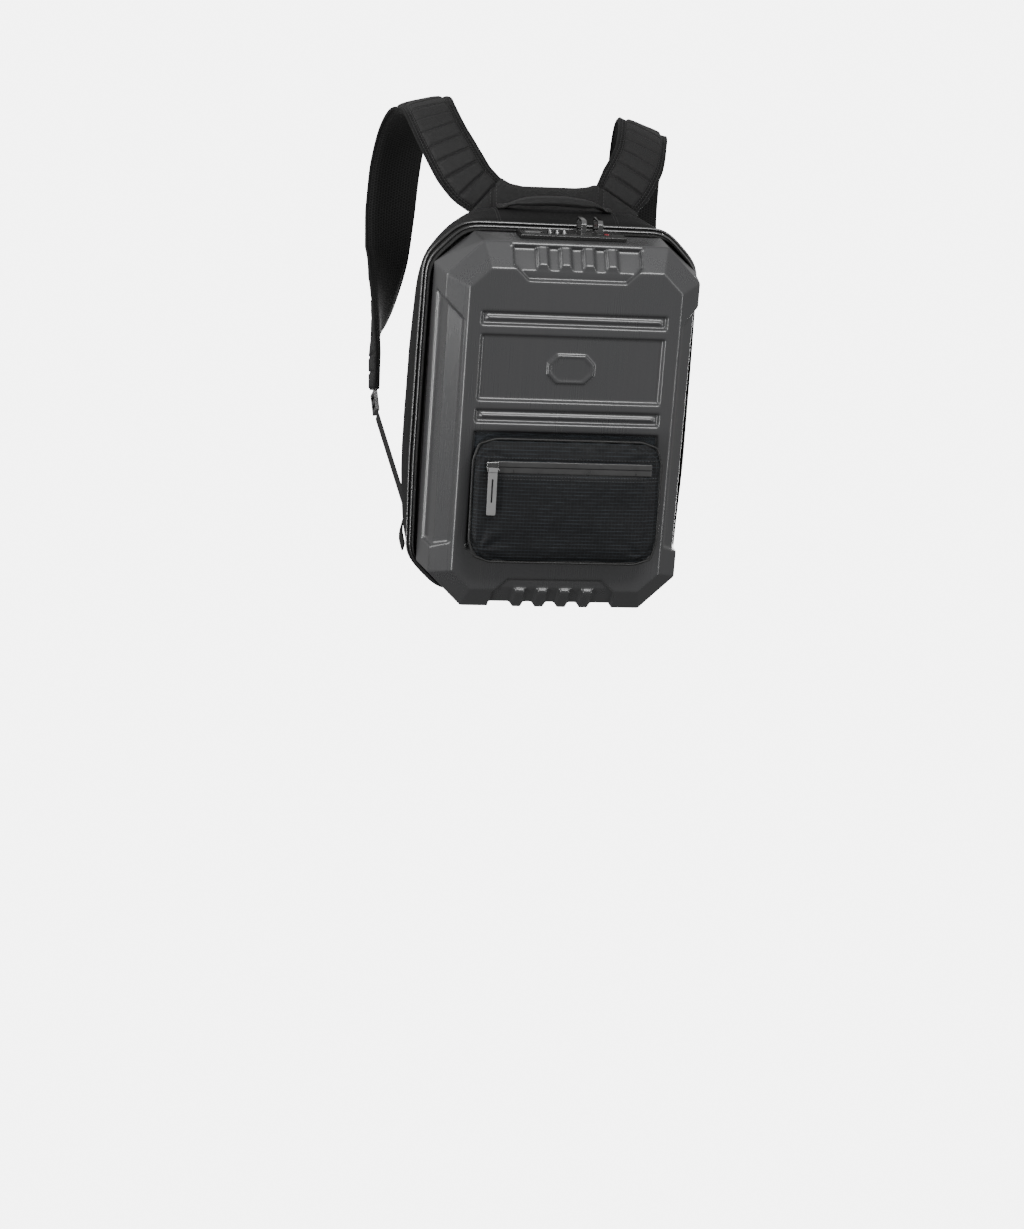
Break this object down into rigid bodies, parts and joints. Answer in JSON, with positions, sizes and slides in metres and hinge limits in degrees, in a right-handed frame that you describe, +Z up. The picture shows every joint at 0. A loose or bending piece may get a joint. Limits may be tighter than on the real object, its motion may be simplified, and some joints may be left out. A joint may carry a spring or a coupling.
{
  "type": "hard shell backpack",
  "caption": "Worn backpack with a faceted hard front shell, soft rear half, zipped front pocket, top lock, padded grab handle and two padded shoulder straps.",
  "frame": {"origin": "Midway between the wearer's two shoulders, level with the undersides of the two strap crests.", "axes": "+Z up along the bag's height, +Y towards the wearer's back and out of the back pad, +X to the right as seen from behind the wearer."},
  "size_m": [0.3747, 0.4709, 0.5597],
  "materials": {
    "shell": "satin, finely brushed",
    "fabric": "woven polyester",
    "ripstop": "ripstop weave, coated",
    "mesh": "padded spacer mesh",
    "zip": "woven tape with coil",
    "strip": "coated reversed zip",
    "piping": "gloss",
    "plastic": "gloss",
    "metal": "polished",
    "tab": "soft touch",
    "signal": "gloss"
  },
  "bodies": {
    "bag": {"front_shell": "shell", "main_zip": "zip", "rim_piping": "piping", "back_body": "fabric", "body_piping": "piping", "back_pad": "mesh", "lock_housing": "plastic", "lock_indicator": "signal", "zip_slider_1": "metal", "zip_pull_1": "metal", "zip_slider_2": "metal", "zip_pull_2": "metal", "front_pocket": "ripstop", "pocket_piping": "piping", "pocket_zip_strip": "strip", "pocket_slider": "metal", "shoulder_strap_left": "fabric", "shoulder_strap_right": "fabric", "strap_yoke": "fabric", "carry_handle": "fabric", "adjuster_left": "plastic", "adjuster_right": "plastic", "lower_webbing_left": "fabric", "lower_webbing_right": "fabric", "lower_anchor_left": "fabric", "lower_anchor_right": "fabric"},
    "release": {"lock_release": "plastic"},
    "dial_1": {"lock_dial_1": "plastic"},
    "dial_2": {"lock_dial_2": "plastic"},
    "dial_3": {"lock_dial_3": "plastic"},
    "pull": {"pocket_pull": "tab"}
  },
  "joints": [
    {"name": "release_slide", "type": "slide", "parent": "bag", "child": "release", "axis": [1, 0, 0], "range_m": [0, 0.0035], "stiffness_N_per_m": 200},
    {"name": "dial_1_turn", "type": "hinge", "parent": "bag", "child": "dial_1", "pos_m": [-0.02599, -0.2433, -0.09], "axis": [1, 0, 0], "continuous": true},
    {"name": "dial_2_turn", "type": "hinge", "parent": "bag", "child": "dial_2", "pos_m": [-0.01769, -0.2433, -0.09], "axis": [1, 0, 0], "continuous": true},
    {"name": "dial_3_turn", "type": "hinge", "parent": "bag", "child": "dial_3", "pos_m": [-0.00939, -0.2433, -0.09], "axis": [1, 0, 0], "continuous": true},
    {"name": "pull_swing", "type": "hinge", "parent": "bag", "child": "pull", "pos_m": [-0.08818, -0.33525, -0.34527], "axis": [-1, 0, 0], "range_deg": [0, 150]}
  ]
}
